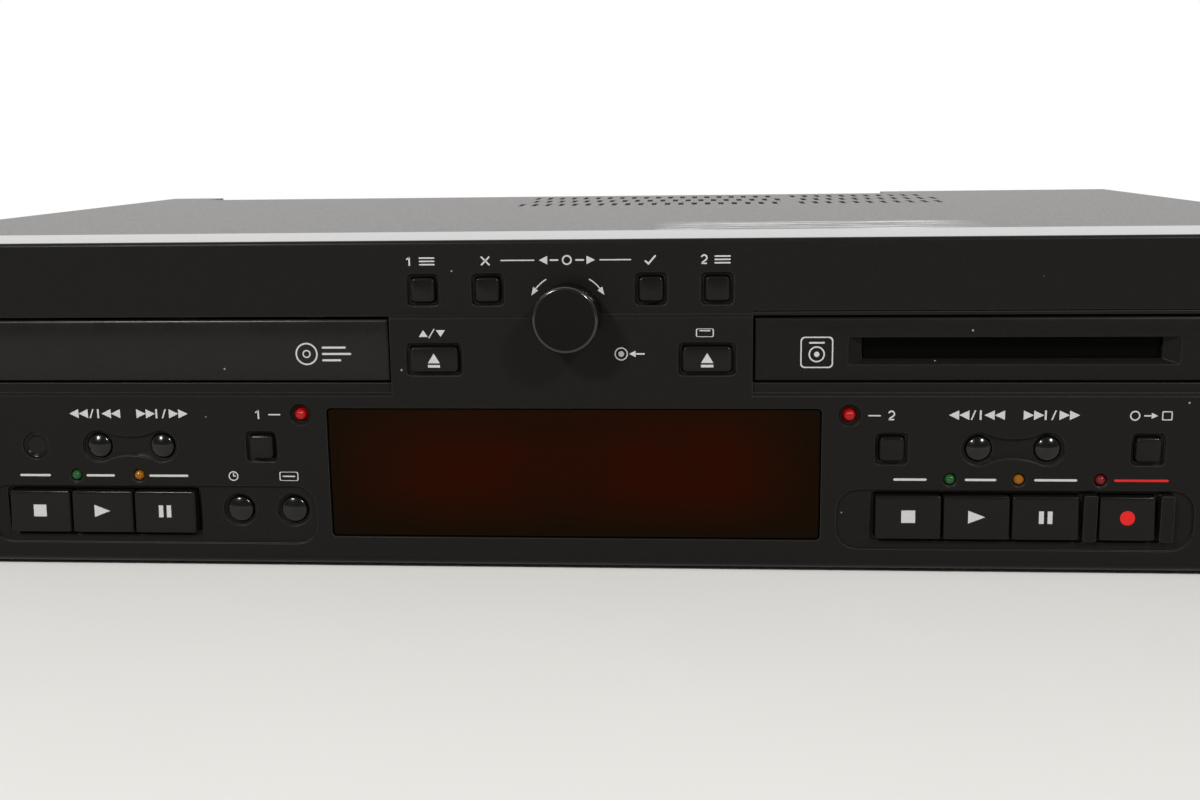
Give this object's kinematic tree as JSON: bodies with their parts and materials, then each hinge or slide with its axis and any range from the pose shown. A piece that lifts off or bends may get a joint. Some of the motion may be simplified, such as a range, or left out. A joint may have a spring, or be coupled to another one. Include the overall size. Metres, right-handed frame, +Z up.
{
  "type": "minidisc deck",
  "caption": "Flat black rack-mount deck with a drawer for discs on the left, a slot for cartridges on the right, a wide display window, transport keys, a jog knob and small buttons.",
  "frame": {"origin": "on the table under the middle of the deck's overall box", "axes": "+X across the front from left to right, +Y from the front panel towards the rear, +Z up"},
  "size_m": [0.4826, 0.3102, 0.0889],
  "materials": {
    "black_plastic": "fine matt texture",
    "key_plastic": "satin",
    "black_steel": "baked matt paint",
    "zinc_steel": "zinc plated sheet",
    "smoked_window": "smoked red brown acrylic",
    "display_glass": "glass tube with a printed grid",
    "light_lens": "clear coloured lens",
    "rubber": "matt",
    "circuit_board": "green solder mask",
    "core_steel": "plain steel",
    "socket_plastic": "moulded black",
    "grey_moulding": "moulded grey",
    "white_moulding": "moulded natural white"
  },
  "bodies": {
    "deck": {"fascia": "black_plastic", "slot_plate": "black_plastic", "display_window": "smoked_window", "display_module": "display_glass", "sensor_window": "smoked_window", "indicator_lights": "light_lens", "rack_ears": "black_steel", "top_cover": "black_steel", "bottom_chassis": "zinc_steel", "rear_panel": "black_steel", "feet": "rubber", "casing_screws": "black_steel", "front_board": "circuit_board", "main_board": "circuit_board", "transformer": "core_steel", "rear_sockets": "socket_plastic", "phones_jack": "socket_plastic", "tray_frame": "grey_moulding", "loading_motor": "core_steel", "clamp_bridge": "core_steel", "slot_frame": "zinc_steel"},
    "tray": {"disc_tray": "black_plastic", "tray_front": "black_plastic"},
    "loading_gear": {"loading_gear": "white_moulding"},
    "motor_pinion": {"motor_pinion": "white_moulding"},
    "traverse": {"disc_traverse": "grey_moulding"},
    "turntable": {"disc_turntable": "core_steel"},
    "sled": {"disc_sled": "grey_moulding"},
    "clamper": {"disc_clamper": "black_plastic"},
    "holder": {"cartridge_holder": "core_steel"},
    "flap": {"slot_flap": "black_plastic"},
    "cartridge_turntable": {"cartridge_turntable": "core_steel"},
    "recorder_sled": {"recorder_sled": "grey_moulding"},
    "jog_shaft": {"jog_shaft": "core_steel"},
    "jog_knob": {"jog_knob": "key_plastic"},
    "phones_knob": {"phones_knob": "key_plastic"},
    "input_knob": {"input_knob": "key_plastic"},
    "player_menu_button": {"player_menu_button": "key_plastic"},
    "recorder_menu_button": {"recorder_menu_button": "key_plastic"},
    "no_button": {"no_button": "key_plastic"},
    "yes_button": {"yes_button": "key_plastic"},
    "tray_button": {"tray_button": "key_plastic"},
    "eject_button": {"eject_button": "key_plastic"},
    "player_select_button": {"player_select_button": "key_plastic"},
    "recorder_select_button": {"recorder_select_button": "key_plastic"},
    "player_back_button": {"player_back_button": "key_plastic"},
    "player_ahead_button": {"player_ahead_button": "key_plastic"},
    "recorder_back_button": {"recorder_back_button": "key_plastic"},
    "recorder_ahead_button": {"recorder_ahead_button": "key_plastic"},
    "time_button": {"time_button": "key_plastic"},
    "display_button": {"display_button": "key_plastic"},
    "dubbing_button": {"dubbing_button": "key_plastic"},
    "player_stop_key": {"player_stop_key": "key_plastic"},
    "player_play_key": {"player_play_key": "key_plastic"},
    "player_pause_key": {"player_pause_key": "key_plastic"},
    "recorder_stop_key": {"recorder_stop_key": "key_plastic"},
    "recorder_play_key": {"recorder_play_key": "key_plastic"},
    "recorder_pause_key": {"recorder_pause_key": "key_plastic"},
    "record_key": {"record_key": "key_plastic"},
    "power_button": {"power_button": "key_plastic"}
  },
  "joints": [
    {"name": "player_menu_button_press", "type": "slide", "parent": "deck", "child": "player_menu_button", "axis": [0, 1, 0], "range_m": [0, 0.0006], "stiffness_N_per_m": 600, "springref_m": -0.0012},
    {"name": "recorder_menu_button_press", "type": "slide", "parent": "deck", "child": "recorder_menu_button", "axis": [0, 1, 0], "range_m": [0, 0.0006], "stiffness_N_per_m": 600, "springref_m": -0.0012},
    {"name": "no_button_press", "type": "slide", "parent": "deck", "child": "no_button", "axis": [0, 1, 0], "range_m": [0, 0.0006], "stiffness_N_per_m": 600, "springref_m": -0.0012},
    {"name": "yes_button_press", "type": "slide", "parent": "deck", "child": "yes_button", "axis": [0, 1, 0], "range_m": [0, 0.0006], "stiffness_N_per_m": 600, "springref_m": -0.0012},
    {"name": "tray_button_press", "type": "slide", "parent": "deck", "child": "tray_button", "axis": [0, 1, 0], "range_m": [0, 0.0006], "stiffness_N_per_m": 600, "springref_m": -0.0012},
    {"name": "eject_button_press", "type": "slide", "parent": "deck", "child": "eject_button", "axis": [0, 1, 0], "range_m": [0, 0.0006], "stiffness_N_per_m": 600, "springref_m": -0.0012},
    {"name": "player_select_button_press", "type": "slide", "parent": "deck", "child": "player_select_button", "axis": [0, 1, 0], "range_m": [0, 0.0006], "stiffness_N_per_m": 600, "springref_m": -0.0012},
    {"name": "recorder_select_button_press", "type": "slide", "parent": "deck", "child": "recorder_select_button", "axis": [0, 1, 0], "range_m": [0, 0.0006], "stiffness_N_per_m": 600, "springref_m": -0.0012},
    {"name": "player_back_button_press", "type": "slide", "parent": "deck", "child": "player_back_button", "axis": [0, 1, 0], "range_m": [0, 0.0006], "stiffness_N_per_m": 600, "springref_m": -0.0012},
    {"name": "player_ahead_button_press", "type": "slide", "parent": "deck", "child": "player_ahead_button", "axis": [0, 1, 0], "range_m": [0, 0.0006], "stiffness_N_per_m": 600, "springref_m": -0.0012},
    {"name": "recorder_back_button_press", "type": "slide", "parent": "deck", "child": "recorder_back_button", "axis": [0, 1, 0], "range_m": [0, 0.0006], "stiffness_N_per_m": 600, "springref_m": -0.0012},
    {"name": "recorder_ahead_button_press", "type": "slide", "parent": "deck", "child": "recorder_ahead_button", "axis": [0, 1, 0], "range_m": [0, 0.0006], "stiffness_N_per_m": 600, "springref_m": -0.0012},
    {"name": "time_button_press", "type": "slide", "parent": "deck", "child": "time_button", "axis": [0, 1, 0], "range_m": [0, 0.0006], "stiffness_N_per_m": 600, "springref_m": -0.0012},
    {"name": "display_button_press", "type": "slide", "parent": "deck", "child": "display_button", "axis": [0, 1, 0], "range_m": [0, 0.0006], "stiffness_N_per_m": 600, "springref_m": -0.0012},
    {"name": "dubbing_button_press", "type": "slide", "parent": "deck", "child": "dubbing_button", "axis": [0, 1, 0], "range_m": [0, 0.0006], "stiffness_N_per_m": 600, "springref_m": -0.0012},
    {"name": "player_stop_key_press", "type": "slide", "parent": "deck", "child": "player_stop_key", "axis": [0, 1, 0], "range_m": [0, 0.0006], "stiffness_N_per_m": 600, "springref_m": -0.0012},
    {"name": "player_play_key_press", "type": "slide", "parent": "deck", "child": "player_play_key", "axis": [0, 1, 0], "range_m": [0, 0.0006], "stiffness_N_per_m": 600, "springref_m": -0.0012},
    {"name": "player_pause_key_press", "type": "slide", "parent": "deck", "child": "player_pause_key", "axis": [0, 1, 0], "range_m": [0, 0.0006], "stiffness_N_per_m": 600, "springref_m": -0.0012},
    {"name": "recorder_stop_key_press", "type": "slide", "parent": "deck", "child": "recorder_stop_key", "axis": [0, 1, 0], "range_m": [0, 0.0006], "stiffness_N_per_m": 600, "springref_m": -0.0012},
    {"name": "recorder_play_key_press", "type": "slide", "parent": "deck", "child": "recorder_play_key", "axis": [0, 1, 0], "range_m": [0, 0.0006], "stiffness_N_per_m": 600, "springref_m": -0.0012},
    {"name": "recorder_pause_key_press", "type": "slide", "parent": "deck", "child": "recorder_pause_key", "axis": [0, 1, 0], "range_m": [0, 0.0006], "stiffness_N_per_m": 600, "springref_m": -0.0012},
    {"name": "record_key_press", "type": "slide", "parent": "deck", "child": "record_key", "axis": [0, 1, 0], "range_m": [0, 0.0006], "stiffness_N_per_m": 600, "springref_m": -0.0012},
    {"name": "power_button_press", "type": "slide", "parent": "deck", "child": "power_button", "axis": [0, 1, 0], "range_m": [0, 0.0006], "stiffness_N_per_m": 600, "springref_m": -0.0012},
    {"name": "jog_push", "type": "slide", "parent": "deck", "child": "jog_shaft", "axis": [0, 1, 0], "range_m": [0, 0.0006], "stiffness_N_per_m": 600, "springref_m": -0.0012},
    {"name": "jog_turn", "type": "hinge", "parent": "jog_shaft", "child": "jog_knob", "pos_m": [0, -0.1479, 0.0694], "axis": [0, 1, 0], "continuous": true},
    {"name": "phones_level", "type": "hinge", "parent": "deck", "child": "phones_knob", "pos_m": [-0.1805, -0.1479, 0.0159], "axis": [0, 1, 0], "range_deg": [-150, 150]},
    {"name": "input_level", "type": "hinge", "parent": "deck", "child": "input_knob", "pos_m": [0.188, -0.1479, 0.0159], "axis": [0, 1, 0], "range_deg": [-150, 150]},
    {"name": "tray_slide", "type": "slide", "parent": "deck", "child": "tray", "axis": [0, -1, 0], "range_m": [0, 0.134]},
    {"name": "loading_gear_turn", "type": "hinge", "parent": "deck", "child": "loading_gear", "pos_m": [-0.0697, -0.1169, 0.05], "axis": [0, 0, -1], "range_deg": [0, 962]},
    {"name": "motor_pinion_turn", "type": "hinge", "parent": "deck", "child": "motor_pinion", "pos_m": [-0.0789, -0.10097, 0.047], "axis": [0, 0, 1], "range_deg": [0, 3460]},
    {"name": "traverse_tilt", "type": "hinge", "parent": "deck", "child": "traverse", "pos_m": [-0.1137, 0.0111, 0.0472], "axis": [1, 0, 0], "range_deg": [0, 4]},
    {"name": "turntable_spin", "type": "hinge", "parent": "traverse", "child": "turntable", "pos_m": [-0.1137, -0.0749, 0.056], "axis": [0, 0, 1], "continuous": true},
    {"name": "sled_slide", "type": "slide", "parent": "traverse", "child": "sled", "axis": [0, 1, 0], "range_m": [0, 0.033]},
    {"name": "clamper_spin", "type": "hinge", "parent": "deck", "child": "clamper", "pos_m": [-0.1137, -0.0749, 0.064], "axis": [0, 0, 1], "continuous": true},
    {"name": "holder_drop", "type": "slide", "parent": "deck", "child": "holder", "axis": [0, 0, -1], "range_m": [0, 0.003]},
    {"name": "flap_swing", "type": "hinge", "parent": "deck", "child": "flap", "pos_m": [0.1137, -0.1385, 0.0644], "axis": [1, 0, 0], "range_deg": [0, 85], "stiffness_Nm_per_rad": 0.0004, "springref_deg": -22.92},
    {"name": "cartridge_spin", "type": "hinge", "parent": "deck", "child": "cartridge_turntable", "pos_m": [0.1137, -0.0979, 0.055], "axis": [0, 0, 1], "continuous": true},
    {"name": "recorder_sled_slide", "type": "slide", "parent": "deck", "child": "recorder_sled", "axis": [0, 1, 0], "range_m": [0, 0.016]}
  ],
  "couplings": [
    {"joint": "loading_gear_turn", "follows": "tray_slide", "rad_per_m": 125},
    {"joint": "motor_pinion_turn", "follows": "tray_slide", "rad_per_m": 450},
    {"joint": "clamper_spin", "follows": "turntable_spin", "ratio": 1}
  ]
}
